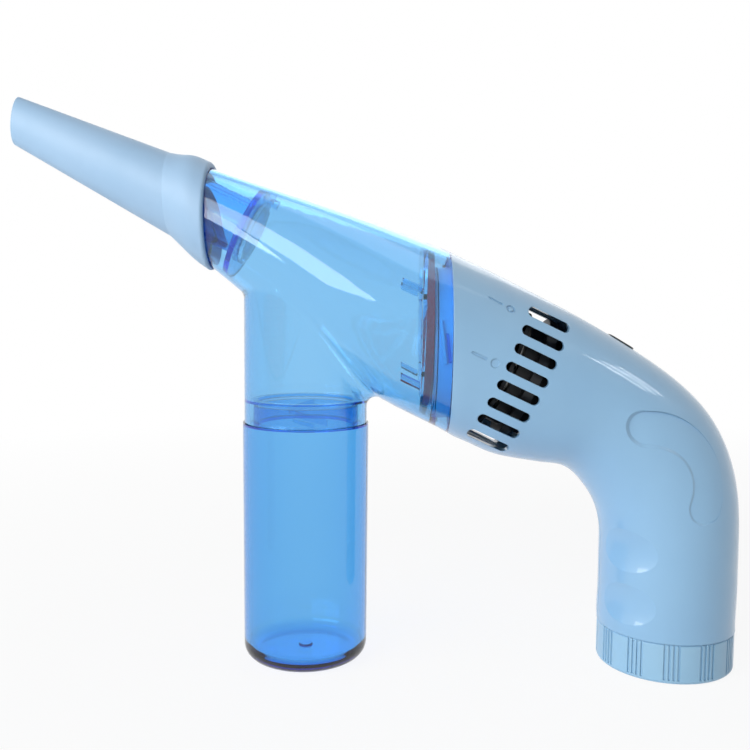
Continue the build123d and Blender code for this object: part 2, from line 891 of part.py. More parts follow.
def battery_cap():
    """Twist cap with groups of grooves, a flat foot and a spigot with lugs."""
    body = disc(cap_radius, 0, cap_height)
    body = fillet(body.edges().sort_by(Axis.Z)[0], cap_foot_fillet)
    body = chamfer(body.edges().sort_by(Axis.Z)[-1], cap_edge)
    body = body - disc(cap_radius - cap_wall, cap_floor, cap_height)
    step_low = cap_height - cap_step_height
    body = body + ring(cap_radius - cap_wall, cap_spigot_inner, step_low, cap_step_height)
    body = body + ring(cap_spigot_radius, cap_spigot_inner, step_low,
                       cap_step_height + cap_spigot_length)
    for lug in cap_lugs():
        body = body + lug
    low = cap_groove_low
    for group in range(cap_rib_groups):
        for groove in range(cap_grooves_per_group):
            angle = cap_groove_first + group * TURN / cap_rib_groups
            angle = angle + (groove - (cap_grooves_per_group - 1) / 2) * cap_groove_step
            cut = Rot(0, 0, angle) * Pos(cap_radius, 0) * block(
                2 * cap_groove_depth, cap_groove_width, low, cap_height)
            body = body - cut
    return body


def cap_contact_plate():
    """Round plate on the cap's floor that joins the cells' lower ends."""
    body = disc(cap_plate_radius, cap_floor, cap_plate_thickness)
    for place in cell_places()[1::2]:
        body = body + Pos(*place) * disc(cell_nub_radius, cap_floor,
                                         cell_bottom - contact_gap - cap_floor)
    return body


def cap_springs():
    """Two springs that press the cells' flat ends, as coils between the plate and the cell."""
    low = cap_floor + cap_plate_thickness
    rise = cell_bottom - low - 2 * cap_spring_wire - contact_gap
    springs = []
    for place in cell_places()[0::2]:
        path = Helix(rise / cap_spring_turns, rise, cap_spring_radius)
        profile = Plane(origin=path @ 0, z_dir=path % 0) * Circle(cap_spring_wire)
        coil = sweep(profile, path=path, is_frenet=True)
        springs.append(Pos(place[0], place[1], low + cap_spring_wire) * coil)
    return springs


def housing_solid(inset):
    """Housing's barrel and neck, made smaller all round by the inset."""
    barrel = even_rows([
        (seam_x, seam_z, seam_radius),
        (housing_mid_x, housing_mid_z, housing_mid_radius),
        (neck_x, neck_z, neck_radius),
    ], housing_steps)
    neck = [(neck_x, neck_z, neck_radius), (neck_end_x, neck_end_z, neck_end_radius)]
    return round_loft(barrel, inset, False) + round_loft(neck, inset, True)


def round_loft(rows, inset, ruled):
    """Loft through circles in upright planes, each given by its X, Z and radius."""
    circles = []
    for x, z, radius in rows:
        plane = Plane(origin=(x, 0, z), x_dir=(0, 1, 0), z_dir=(-1, 0, 0))
        circles.append(plane * Circle(radius - inset))
    return loft(circles, ruled=ruled)


def socket_tube(radius):
    """Upright cylinder from the cup's rim up into the barrel."""
    return Pos(cup_x, 0) * disc(radius, cup_rim_z, socket_top_z - cup_rim_z)


def joined_housing(inset, radius, rounding):
    """Barrel and neck joined to the socket's tube, with the joint between them rounded."""
    body = housing_solid(inset) + socket_tube(radius)
    joint = []
    for edge in body.edges():
        box = edge.bounding_box()
        in_reach = abs(box.min.X - cup_x) < seam_radius and abs(box.max.X - cup_x) < seam_radius
        in_height = cup_rim_z < box.min.Z and box.max.Z < housing_mid_z + socket_radius
        if edge.geom_type != GeomType.CIRCLE and in_reach and in_height and box.size.Y > radius:
            joint.append(edge)
    return fillet(joint, rounding)


def socket_ridges():
    """Ridges inside the socket that the cup's lugs pass behind."""
    middle = -cup_lug_low - cup_lug_arc * cup_lead / TURN
    middle = middle + (cup_lug_thickness + cup_ridge_thickness) / 2 + turn_gap
    ridges = []
    for number in range(cup_lug_count):
        first = cup_lug_start + cup_lug_arc + number * TURN / cup_lug_count
        ridges.append(cup_plane() * helix_ridge(
            cup_neck_radius + turn_gap, socket_radius + root, middle,
            cup_ridge_thickness, first + cup_ridge_back, -cup_ridge_arc, cup_lead))
    return ridges


def housing_lugs():
    """Lugs inside the housing's rim that catch the ring's ridges."""
    lugs = []
    for number in range(ring_lug_count):
        first = ring_lug_start + number * TURN / ring_lug_count
        lug = front_plane() * helix_ridge(
            ring_outer_radius + turn_gap, 2 * seam_radius, ring_lug_setback,
            ring_lug_thickness, first, ring_lug_arc, ring_lead)
        lugs.append(lug & housing_solid(clear_wall / 2))
    return lugs


def ring_bore_radius():
    """Radius of the housing's bore round the handle's ring."""
    return ring_outer_radius + ring_lug_height + turn_gap


def holder_back():
    """Distance from the seam to the rear face of the filter holder."""
    return ring_length + 2 * filter_gap + filter_seal_thickness


def holder_front():
    """Distance from the seam to the front face of the filter holder."""
    return holder_back() + holder_length


def locating_ribs():
    """Short ribs on the housing's inner wall that stop the filter holder."""
    band = housing_solid(clear_wall / 2) - housing_solid(clear_wall + locating_rib_height)
    slope = (housing_mid_z - seam_z) / (seam_x - housing_mid_x)
    start = holder_front() + locating_rib_gap
    ribs = []
    for angle in locating_rib_angles:
        face = front_plane(start, start * slope) * Rot(0, 0, angle) * Pos(
            seam_radius, 0) * Rectangle(2 * seam_radius, locating_rib_width)
        ribs.append(extrude(face, locating_rib_length, dir=(-1, 0, slope)) & band)
    return ribs


def flap_ears():
    """Two ears behind the inlet tube that hold the flap's pins."""
    ears = []
    for side in (-1, 1):
        middle = side * (flap_pin_half_length - flap_ear_thickness / 2 - flap_ear_gap / 2)
        ear = Pos(middle, flap_pivot_height) * block(
            flap_ear_thickness, flap_ear_height, -flap_ear_length, flap_ear_length + root)
        hole = disc(flap_pin_radius + flap_hole_gap, -through / 2, through)
        ears.append(inlet_plane() * (ear - flap_pivot() * hole))
    return ears


def flap_pivot():
    """Place of the flap's pivot in the inlet plane, with Z along the pins."""
    return Pos(0, flap_pivot_height, -flap_gap - flap_thickness / 2) * Rot(0, 90, 0)


def dust_housing():
    """Clear housing: neck, barrel, socket, ledge, lugs and ribs."""
    socket_wall = socket_outer_radius - socket_radius
    outer = joined_housing(0, socket_outer_radius, socket_fillet)
    inner = joined_housing(clear_wall, socket_radius, socket_fillet + socket_wall)
    bore = front_plane() * disc(ring_bore_radius(), 0, holder_back())
    ledge = cup_plane() * ring(socket_radius + root, socket_ledge_radius,
                               -ledge_height() - socket_ledge_wall, socket_ledge_wall)
    body = outer - inner - bore + ledge
    for piece in socket_ridges() + housing_lugs() + locating_ribs():
        body = body + piece
    return body


def inlet_duct():
    """Clear tube inside the neck, with a flange at its rear and two ears for the flap."""
    wall = inlet_plane() * disc(through, 0, inlet_flange_wall)
    tube = inlet_plane() * disc(inlet_radius, 0, inlet_length)
    hollow = inlet_plane() * disc(inlet_radius - inlet_wall, -root, through)
    body = (wall & housing_solid(clear_wall + slide_gap)) + tube - hollow
    for ear in flap_ears():
        body = body + (ear & housing_solid(clear_wall + slide_gap))
    return body


def ledge_height():
    """Height of the socket's ledge above the cup's rim."""
    return cup_neck_height + cup_seal_thickness + seat_gap


def inlet_flap():
    """Silicone disc with a web between the ears and a pin on each side."""
    low = -flap_gap - flap_thickness
    middle = flap_pivot_height - flap_web_height / 2
    half_web = flap_pin_half_length - flap_ear_thickness - flap_ear_gap - flap_web_margin
    body = disc(flap_radius, low, flap_thickness)
    body = body - Pos(0, middle) * block(2 * flap_radius, flap_web_height, low, flap_thickness)
    web = Pos(0, middle) * block(2 * half_web, flap_web_height, low, flap_thickness)
    pin = flap_pivot() * disc(flap_pin_radius, -flap_pin_half_length, 2 * flap_pin_half_length)
    return inlet_plane() * (body + web + pin)


def oval_loft(rows, inset, ruled):
    """Loft through ovals in upright planes, each given by X, Z, half height and half width."""
    sections = []
    for x, z, half_height, half_width in rows:
        plane = Plane(origin=(x, 0, z), x_dir=(0, 1, 0), z_dir=(1, 0, 0))
        sections.append(plane * Ellipse(half_width - inset, half_height - inset))
    return loft(sections, ruled=ruled)


def nozzle():
    """Tapered oval nozzle with a flared collar round the housing's neck."""
    body = oval_loft([nozzle_end, nozzle_taper_start], 0, True)
    collar = oval_loft(even_rows(collar_sections, collar_steps), 0, False)
    body = body + fillet(collar.edges().sort_by(Axis.X)[-1], collar_edge)
    duct = oval_loft([nozzle_end, nozzle_taper_start], nozzle_wall, True)
    socket = inlet_plane(inlet_length + slide_gap - nozzle_socket_depth) * disc(
        inlet_radius + slide_gap, 0, nozzle_socket_depth)
    join = inlet_plane(inlet_length) * disc(inlet_radius - inlet_wall, -root, nozzle_join_length)
    lean = math.radians(nozzle_tip_lean)
    tip = Plane(origin=(nozzle_tip_x, 0, nozzle_tip_z), x_dir=(0, 1, 0),
                z_dir=(-math.cos(lean), 0, math.sin(lean)))
    cut = tip * block(2 * through, 2 * through, 0, through)
    return body - duct - socket - join - neck_clearance() - cut


def neck_clearance():
    """Room in the nozzle's collar for the housing's neck."""
    slope = (neck_end_z - neck_z) / (neck_end_x - neck_x)
    shrink = (neck_radius - neck_end_radius) / (neck_x - neck_end_x)
    sections = []
    for x in (neck_x + neck_room_back, neck_end_x - neck_room_back / 2):
        z = neck_z + (x - neck_x) * slope
        radius = neck_radius + (x - neck_x) * shrink + seat_gap
        plane = Plane(origin=(x, 0, z), x_dir=(0, 1, 0), z_dir=(1, 0, 0))
        sections.append(plane * Circle(radius))
    last = Plane(origin=(neck_end_x - neck_room_front, 0, neck_end_z - neck_room_front * slope),
                 x_dir=(0, 1, 0), z_dir=(1, 0, 0))
    sections.append(last * Circle(inlet_radius + neck_room_step))
    return loft(sections, ruled=True)


def dust_cup():
    """Clear cup with a flat foot, a stepped-in neck, two lugs and a gate mark on its floor."""
    body = Pos(cup_x, 0) * loft([Circle(cup_foot_radius), Pos(0, 0, cup_rim_z) * Circle(cup_radius)])
    body = fillet(body.edges().sort_by(Axis.Z)[0], cup_foot_fillet)
    shoulder_top = cup_rim_z - cup_shoulder_wall
    hollow = loft([Pos(0, 0, cup_floor) * Circle(cup_foot_radius - cup_wall),
                   Pos(0, 0, shoulder_top) * Circle(cup_radius - cup_wall)])
    hollow = fillet(hollow.edges().sort_by(Axis.Z)[0], cup_foot_fillet - cup_wall)
    neck_start = cup_rim_z - seat_gap
    body = body - Pos(cup_x, 0) * disc(through, neck_start, through)
    body = body - Pos(cup_x, 0) * hollow
    body = body + Pos(cup_x, 0) * disc(cup_neck_radius, neck_start, cup_neck_height + seat_gap)
    body = body - Pos(cup_x, 0) * disc(cup_neck_radius - cup_wall, shoulder_top, through)
    gate = disc(cup_gate_radius, cup_floor, cup_gate_height)
    gate = fillet(gate.edges().sort_by(Axis.Z)[-1], cup_gate_edge)
    body = body + Pos(cup_x, 0) * gate
    for number in range(cup_lug_count):
        middle = -cup_lug_low - cup_lug_arc * cup_lead / TURN
        first = cup_lug_start + cup_lug_arc + number * TURN / cup_lug_count
        body = body + cup_plane() * helix_ridge(
            cup_neck_radius - root, cup_neck_radius + cup_lug_height, middle,
            cup_lug_thickness, first, -cup_lug_arc, cup_lead)
    return body


def cup_seal():
    """Flat gasket on the rim of the cup's neck."""
    return cup_plane() * ring(cup_neck_radius, cup_seal_inner_radius,
                              -cup_neck_height - cup_seal_thickness, cup_seal_thickness)


def filter_plane():
    """Plane at the holder's rear face that faces the nozzle, at the filter's centre."""
    return Plane(origin=(seam_x - holder_back(), 0, seam_z + filter_lift), x_dir=(0, 0, 1),
                 z_dir=(-1, 0, 0))


def filter_holder():
    """Clear tray that fills the housing round the filter, with crossed ribs over its window."""
    depth = filter_depth + filter_seat_gap
    body = disc(2 * seam_radius, 0, holder_length) - disc(holder_window_radius, 0, holder_length)
    body = body - disc(filter_radius + filter_seat_gap, 0, depth)
    for angle in (0, 60, 120):
        body = body + Rot(0, 0, angle) * block(2 * holder_window_radius + root, holder_rib_width,
                                              depth, holder_length - depth)
    return (filter_plane() * body) & housing_solid(clear_wall + seat_gap)


def filter_media():
    """Pleated filter disc in a solid rim, behind the holder's ribs."""
    pitch = 2 * filter_radius / filter_pleats
    front = []
    for number in range(2 * filter_pleats + 1):
        x = -filter_radius + number * pitch / 2
        front.append((x, filter_depth if number % 2 else filter_sheet))
    back = [(x, z - filter_sheet) for x, z in reversed(front)]
    sheet = make_face(Polyline(*front, *back, close=True))
    body = Pos(0, filter_radius, 0) * Rot(90, 0, 0) * extrude(sheet, 2 * filter_radius)
    body = body & disc(filter_radius - root, 0, filter_depth)
    return filter_plane() * (body + ring(filter_radius, filter_radius - filter_rim_width, 0,
                                         filter_depth))


def front_seal():
    """Flat gasket between the filter holder and the handle's ring."""
    return front_plane() * ring(ring_outer_radius, ring_inner_radius, ring_length + filter_gap,
                                filter_seal_thickness)


def terminal_end(side):
    """Outer end of a motor terminal: -1 is the near one, 1 the far one."""
    length = motor_start + motor_can_length + motor_cap_length + terminal_length
    return barrel_plane(length) * Pos(side * terminal_offset, 0, 0)


def spot(location):
    """The point of a location, as three numbers."""
    return tuple(location.position)


def lead_red():
    """Wire from the far motor terminal to the switch."""
    start = terminal_end(1)
    end = switch_plane() * Pos(*switch_leg(1))
    return wire_along([
        spot(start), spot(start * Pos(0, 0, lead_straight)), lead_red_middle,
        spot(end * Pos(lead_straight, 0, 0)), spot(end)])


def lead_switch():
    """Wire from the switch to the far upper contact."""
    start = switch_plane() * Pos(*switch_leg(-1))
    x, y, top = tag_place(1)
    return wire_along([
        spot(start), spot(start * Pos(lead_straight, 0, 0)), lead_switch_middle,
        (x, y, top + lead_straight), (x, y, top)])


def lead_black():
    """Wire from the near motor terminal to the near upper contact."""
    start = terminal_end(-1)
    x, y, top = tag_place(-1)
    return wire_along([
        spot(start), spot(start * Pos(0, 0, lead_straight)), (x, y, top + lead_straight),
        (x, y, top)])


def wire_along(points):
    """Wire along straight runs joined by arcs."""
    path = FilletPolyline(*points, radius=lead_bend)
    profile = Plane(origin=path @ 0, z_dir=path % 0) * Circle(lead_radius)
    return sweep(profile, path=path)


PIECES = {
    "nozzle": nozzle,
    "dust_housing": dust_housing,
    "inlet_duct": inlet_duct,
    "inlet_flap": inlet_flap,
    "dust_cup": dust_cup,
    "cup_seal": cup_seal,
    "filter_holder": filter_holder,
    "filter_media": filter_media,
    "front_seal": front_seal,
    "fan_cover": fan_cover,
    "handle_left": handle_left,
    "handle_right": handle_right,
    "case_screws": case_screws,
    "impeller": impeller,
    "motor_shaft": motor_shaft,
    "motor_can": motor_can,
    "motor_endcap": motor_endcap,
    "motor_terminals": motor_terminals,
    "motor_magnets": motor_magnets,
    "armature": armature,
    "motor_cradle": motor_cradle,
    "switch_button": switch_button,
    "switch_body": switch_body,
    "switch_contacts": switch_contacts,
    "battery_sleeve": battery_sleeve,
    "contact_carrier": contact_carrier,
    "upper_contacts": upper_contacts,
    "battery_cap": battery_cap,
    "cap_contact_plate": cap_contact_plate,
    "cap_springs": cap_springs,
    "lead_red": lead_red,
    "lead_switch": lead_switch,
    "lead_black": lead_black,
}


def write_piece(name, solids):
    """Write one piece, or a group of like pieces, to its own file."""
    if isinstance(solids, list):
        solids = Compound(children=solids)
    export_step(solids, os.path.join("parts", name + ".step"))
    print(name, round(solids.volume, 1), len(solids.solids()))


def main():
    """Build every piece and write it."""
    os.makedirs("parts", exist_ok=True)
    for name, make in PIECES.items():
        write_piece(name, make())
    for number in range(len(cell_places())):
        write_piece("battery_cell_" + str(number + 1), battery_cell(number))


if __name__ == "__main__":
    main()
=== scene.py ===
"""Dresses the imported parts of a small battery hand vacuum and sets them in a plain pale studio."""

import logging
import math
from dataclasses import dataclass
from enum import Enum

import bpy
from mathutils import Matrix, Quaternion, Vector

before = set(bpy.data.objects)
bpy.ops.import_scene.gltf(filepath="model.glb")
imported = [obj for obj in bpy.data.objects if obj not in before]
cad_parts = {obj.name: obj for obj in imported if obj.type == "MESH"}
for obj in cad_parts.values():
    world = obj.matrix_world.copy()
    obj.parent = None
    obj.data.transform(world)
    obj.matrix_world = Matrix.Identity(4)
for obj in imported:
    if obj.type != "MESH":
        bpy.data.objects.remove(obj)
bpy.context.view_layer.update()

LOG = logging.getLogger("hand_vacuum")

Colour = tuple[float, float, float, float]
Place = tuple[float, float, float]
Source = bpy.types.Node | bpy.types.NodeSocket
Settings = dict[str | int, object]
Links = dict[str | int, Source]

MM = 0.001
WHITE: Colour = (1.0, 1.0, 1.0, 1.0)
# A random pattern seldom leaves this band, so the band is stretched over a value's whole range.
PATTERN_BAND: Settings = {"From Min": 0.3, "From Max": 0.7}
# Length of one stripe of the wave pattern at a scale of one.
WAVE_LENGTH = math.pi / 10

# Points that the lamps face, in metres.
PART_MIDDLE: Place = (-0.08, 0.0, 0.09)
ELBOW: Place = (-0.0175, -0.0175, 0.0937)


def linear(hex_colour: str) -> Colour:
    """Turn an sRGB hex colour into the linear light that the shaders work in.

    Args:
        hex_colour: six hex digits, such as "A5C8E4".

    Returns:
        Red, green, blue and an alpha of one.
    """
    parts = [int(hex_colour[place:place + 2], 16) / 255 for place in (0, 2, 4)]
    # The sRGB curve: a straight foot in the darkest tones, and a power above it.
    light = [part / 12.92 if part <= 0.04045 else ((part + 0.055) / 1.055) ** 2.4 for part in parts]
    return (light[0], light[1], light[2], 1.0)


def per_mm(size_mm: float) -> float:
    """Return the scale, in repeats per metre, of a pattern with this size in millimetres."""
    return 1.0 / (size_mm * MM)


def add_node(
    tree: bpy.types.NodeTree,
    kind: str,
    settings: Settings | None = None,
    links: Links | None = None,
) -> bpy.types.Node:
    """Add a node, give it its values and join its inputs.

    Args:
        tree: the node tree that the node goes into.
        kind: the name of the node's type, such as "ShaderNodeMix".
        settings: values by input name or number, or by the node's own property name.
        links: what feeds each input: an output socket, or a node, which means its first output.

    Returns:
        The new node.
    """
    node = tree.nodes.new(kind)
    for name, value in (settings or {}).items():
        if isinstance(name, int) or name in node.inputs.keys():
            node.inputs[name].default_value = value
        else:
            setattr(node, name, value)
    for name, source in (links or {}).items():
        socket = source.outputs[0] if isinstance(source, bpy.types.Node) else source
        tree.links.new(socket, node.inputs[name])
    return node


def start_material(
    name: str,
) -> tuple[bpy.types.Material, bpy.types.NodeTree, bpy.types.NodeSocket]:
    """Make a material that holds nothing yet but the place of each point.

    Args:
        name: the finish's plain name.

    Returns:
        The material, its node tree, and the socket that gives each point's place in metres.
    """
    material = bpy.data.materials.new(name)
    material.use_nodes = True
    tree = material.node_tree
    tree.nodes.clear()
    return material, tree, add_node(tree, "ShaderNodeTexCoord").outputs["Object"]


def patches(
    tree: bpy.types.NodeTree,
    place: Source,
    size_mm: float,
    low: float = 0.0,
    high: float = 1.0,
    detail: float = 3.0,
) -> bpy.types.Node:
    """Vary a value over the surface in soft random patches of a real size.

    Args:
        tree: the material's node tree.
        place: the point's place in metres.
        size_mm: how far apart the patches are, in millimetres.
        low: the value between the patches.
        high: the value in the middle of a patch.
        detail: how many finer layers lie on the first.

    Returns:
        The node that gives the value.
    """
    spots = add_node(
        tree,
        "ShaderNodeTexNoise",
        {"Scale": per_mm(size_mm), "Detail": detail},
        {"Vector": place},
    )
    span = PATTERN_BAND | {"To Min": low, "To Max": high}
    return add_node(tree, "ShaderNodeMapRange", span, {"Value": spots})


def relief(
    tree: bpy.types.NodeTree,
    place: Source,
    size_mm: float,
    depth_mm: float,
    detail: float = 1.0,
    under: Source | None = None,
) -> bpy.types.Node:
    """Raise soft random bumps of a real size and depth.

    Args:
        tree: the material's node tree.
        place: the point's place in metres.
        size_mm: how far apart the bumps are, in millimetres.
        depth_mm: their depth in millimetres.
        detail: how many finer layers lie on the first.
        under: the normal of coarser relief that these bumps lie on.

    Returns:
        The node that gives the bumped normal.
    """
    bumps = add_node(
        tree,
        "ShaderNodeTexNoise",
        {"Scale": per_mm(size_mm), "Detail": detail},
        {"Vector": place},
    )
    links: Links = {"Height": bumps}
    if under is not None:
        links["Normal"] = under
    depth = {"Strength": 1.0, "Distance": depth_mm * MM}
    return add_node(tree, "ShaderNodeBump", depth, links)


def close_opaque(
    tree: bpy.types.NodeTree,
    first: str,
    second: str,
    share: Source,
    settings: Settings,
    links: Links,
) -> None:
    """Blend two colours by a pattern, and make them the opaque surface of the material.

    Args:
        tree: the material's node tree.
        first: sRGB hex of the colour where the pattern is zero.
        second: sRGB hex of the colour where the pattern is one.
        share: the pattern.
        settings: the surface's uniform values.
        links: the patterns that feed the surface's other inputs.
    """
    blend = add_node(
        tree,
        "ShaderNodeMix",
        {"data_type": "RGBA", 6: linear(first), 7: linear(second)},
        {0: share},
    )
    surface = add_node(
        tree, "ShaderNodeBsdfPrincipled", settings, {"Base Color": blend.outputs[2], **links}
    )
    add_node(tree, "ShaderNodeOutputMaterial", {}, {"Surface": surface})


@dataclass(frozen=True)
class MouldedPlastic:
    """Opaque ABS from a textured or a polished mould, or the extruded PVC of a wire.

    A fine grain gives the matte pieces their even, soft look, and a polished mould leaves a slow
    wave that bends long reflections a little, as on the grip. The real grain is about 0.1 mm,
    which is too fine to show, so it is drawn 0.9 mm wide. Every edge is rounded a little, so it
    catches a thin line of light.
    """

    name: str
    colour: str
    shade: str
    roughness: float
    roughness_spread: float = 0.05
    tone_mm: float = 24.0
    sheen_mm: float = 9.0
    grain_mm: float = 0.9
    grain_depth_mm: float = 0.0
    edge_mm: float = 0.4
    edge_samples: int = 4
    wave_mm: float = 14.0
    wave_depth_mm: float = 0.03
    coat: float = 0.0
    coat_roughness: float = 0.05
    ior: float = 1.53

    def build(self) -> bpy.types.Material:
        """Make the material and return it."""
        material, tree, place = start_material(self.name)
        tone = patches(tree, place, self.tone_mm)
        rough = patches(
            tree,
            place,
            self.sheen_mm,
            self.roughness - self.roughness_spread,
            self.roughness + self.roughness_spread,
        )
        edge = add_node(
            tree, "ShaderNodeBevel", {"samples": self.edge_samples, "Radius": self.edge_mm * MM}
        )
        normal = relief(tree, place, self.wave_mm, self.wave_depth_mm, under=edge)
        if self.grain_depth_mm:
            normal = relief(tree, place, self.grain_mm, self.grain_depth_mm, under=normal)
        close_opaque(
            tree,
            self.colour,
            self.shade,
            tone,
            {
                "IOR": self.ior,
                "Coat Weight": self.coat,
                "Coat Roughness": self.coat_roughness,
            },
            {"Roughness": rough, "Normal": normal},
        )
        return material


@dataclass(frozen=True)
class ClearPlastic:
    """Clear tinted SAN, injection moulded in a polished mould.

    The tint is in the plastic itself, so a thick edge or a wall seen along its length is far
    deeper in colour than a wall seen straight on. The surface has the faint flow waves of a
    moulding, and lamps shine through it. The tint is what white light becomes on its way
    through the depth given with it.
    """

    name: str
    tint: str
    shadow_tint: str
    tint_depth_mm: float = 1.7
    roughness: float = 0.02
    roughest: float = 0.05
    sheen_mm: float = 7.0
    flow_mm: float = 11.0
    flow_depth_mm: float = 0.05
    flow_detail: float = 1.5
    ior: float = 1.57

    def build(self) -> bpy.types.Material:
        """Make the material and return it."""
        material, tree, place = start_material(self.name)
        glass = add_node(
            tree,
            "ShaderNodeBsdfPrincipled",
            {"Base Color": WHITE, "IOR": self.ior, "Transmission Weight": 1.0},
            {
                "Roughness": patches(tree, place, self.sheen_mm, self.roughness, self.roughest),
                "Normal": relief(
                    tree, place, self.flow_mm, self.flow_depth_mm, self.flow_detail
                ),
            },
        )
        through = add_node(tree, "ShaderNodeBsdfTransparent", {"Color": linear(self.shadow_tint)})
        path = add_node(tree, "ShaderNodeLightPath")
        shares = {0: path.outputs["Is Shadow Ray"], 1: glass, 2: through}
        surface = add_node(tree, "ShaderNodeMixShader", {}, shares)
        loss = [-math.log(part) / (self.tint_depth_mm * MM) for part in linear(self.tint)[:3]]
        density = max(loss)
        colour = tuple(1.0 - part / density for part in loss) + (1.0,)
        absorb = add_node(tree, "ShaderNodeVolumeAbsorption", {"Color": colour, "Density": density})
        add_node(tree, "ShaderNodeOutputMaterial", {}, {"Surface": surface, "Volume": absorb})
        return material


@dataclass(frozen=True)
class Silicone:
    """Soft moulded silicone rubber, a little milky, with a dull sheen and a faint dusty bloom."""

    name: str
    colour: str
    shade: str
    clearness: float = 0.0
    roughness: float = 0.42
    roughness_spread: float = 0.18
    milkiness: float = 0.3
    milky_depth_mm: float = 1.2
    sheen: float = 0.15
    bloom_mm: float = 3.0
    bloom_detail: float = 4.0
    skin_mm: float = 0.5
    skin_depth_mm: float = 0.012
    skin_detail: float = 2.0
    ior: float = 1.41

    def build(self) -> bpy.types.Material:
        """Make the material and return it."""
        material, tree, place = start_material(self.name)
        bloom = patches(tree, place, self.bloom_mm, detail=self.bloom_detail)
        rough = add_node(
            tree,
            "ShaderNodeMapRange",
            {"To Min": self.roughness, "To Max": self.roughness + self.roughness_spread},
            {"Value": bloom},
        )
        skin = relief(tree, place, self.skin_mm, self.skin_depth_mm, self.skin_detail)
        close_opaque(
            tree,
            self.colour,
            self.shade,
            bloom,
            {
                "IOR": self.ior,
                "Transmission Weight": self.clearness,
                "Subsurface Weight": self.milkiness,
                "Subsurface Scale": self.milky_depth_mm * MM,
                "Sheen Weight": self.sheen,
            },
            {"Roughness": rough, "Normal": skin},
        )
        return material


@dataclass(frozen=True)
class FilterFelt:
    """Needled polyester felt of a filter, dyed red: a mat of short fibres with a soft fuzz.

    The fibres are about 0.02 mm thick, which is too fine to show, so they are drawn 0.25 mm wide
    and five times as long. Half of them run across the other half.
    """

    name: str
    colour: str
    shade: str
    fibre_mm: float = 0.25
    fibre_stretch: float = 0.2
    fibre_detail: float = 3.0
    fibre_contrast: float = 0.7
    fibre_depth_mm: float = 0.12
    fuzz: float = 0.15
    fuzz_roughness: float = 0.5
    roughness: float = 0.85
    roughest: float = 1.0
    specular: float = 0.2

    def build(self) -> bpy.types.Material:
        """Make the material and return it."""
        material, tree, place = start_material(self.name)
        layers = []
        for stretch in ((1.0, self.fibre_stretch, 1.0), (1.0, 1.0, self.fibre_stretch)):
            along = add_node(tree, "ShaderNodeMapping", {"Scale": stretch}, {"Vector": place})
            layer = add_node(
                tree,
                "ShaderNodeTexNoise",
                {
                    "Scale": per_mm(self.fibre_mm),
                    "Detail": self.fibre_detail,
                    "Roughness": self.fibre_contrast,
                },
                {"Vector": along},
            )
            layers.append(layer)
        fibres = add_node(
            tree, "ShaderNodeMath", {"operation": "MAXIMUM"}, {0: layers[0], 1: layers[1]}
        )
        tone = add_node(tree, "ShaderNodeMapRange", PATTERN_BAND, {"Value": fibres})
        span = PATTERN_BAND | {"To Min": self.roughness, "To Max": self.roughest}
        rough = add_node(tree, "ShaderNodeMapRange", span, {"Value": fibres})
        depth = {"Strength": 1.0, "Distance": self.fibre_depth_mm * MM}
        mat = add_node(tree, "ShaderNodeBump", depth, {"Height": fibres})
        close_opaque(
            tree,
            self.shade,
            self.colour,
            tone,
            {
                "Sheen Weight": self.fuzz,
                "Sheen Roughness": self.fuzz_roughness,
                "Specular IOR Level": self.specular,
            },
            {"Roughness": rough, "Normal": mat},
        )
        return material


class Grain(Enum):
    """Which way the fine marks on a metal run."""

    ALONG_X = (0.04, 1.0, 1.0)
    ALONG_Z = (1.0, 1.0, 0.04)
    NONE = (1.0, 1.0, 1.0)


@dataclass(frozen=True)
class Metal:
    """Plated, drawn or stamped sheet metal, with fine marks from the tools that shaped it.

    The drawing marks are about 0.02 mm wide, which is too fine to show, so they are drawn
    0.15 mm wide. Plating gives blurred bright reflections that break up along the marks.
    """

    name: str
    colour: str
    shade: str
    roughness: float
    grain: Grain = Grain.NONE
    smoother: float = 0.08
    rougher: float = 0.12
    mark_mm: float = 0.15
    mark_depth_mm: float = 0.006
    mark_detail: float = 3.0
    mark_contrast: float = 0.6
    stain_mm: float = 5.0
    stain_detail: float = 4.0

    def build(self) -> bpy.types.Material:
        """Make the material and return it."""
        material, tree, place = start_material(self.name)
        streak = add_node(
            tree, "ShaderNodeMapping", {"Scale": self.grain.value}, {"Vector": place}
        )
        marks = add_node(
            tree,
            "ShaderNodeTexNoise",
            {
                "Scale": per_mm(self.mark_mm),
                "Detail": self.mark_detail,
                "Roughness": self.mark_contrast,
            },
            {"Vector": streak},
        )
        span = PATTERN_BAND | {
            "To Min": self.roughness - self.smoother,
            "To Max": self.roughness + self.rougher,
        }
        rough = add_node(tree, "ShaderNodeMapRange", span, {"Value": marks})
        depth = {"Strength": 1.0, "Distance": self.mark_depth_mm * MM}
        scratched = add_node(tree, "ShaderNodeBump", depth, {"Height": marks})
        stain = patches(tree, place, self.stain_mm, detail=self.stain_detail)
        close_opaque(
            tree,
            self.colour,
            self.shade,
            stain,
            {"Metallic": 1.0},
            {"Roughness": rough, "Normal": scratched},
        )
        return material


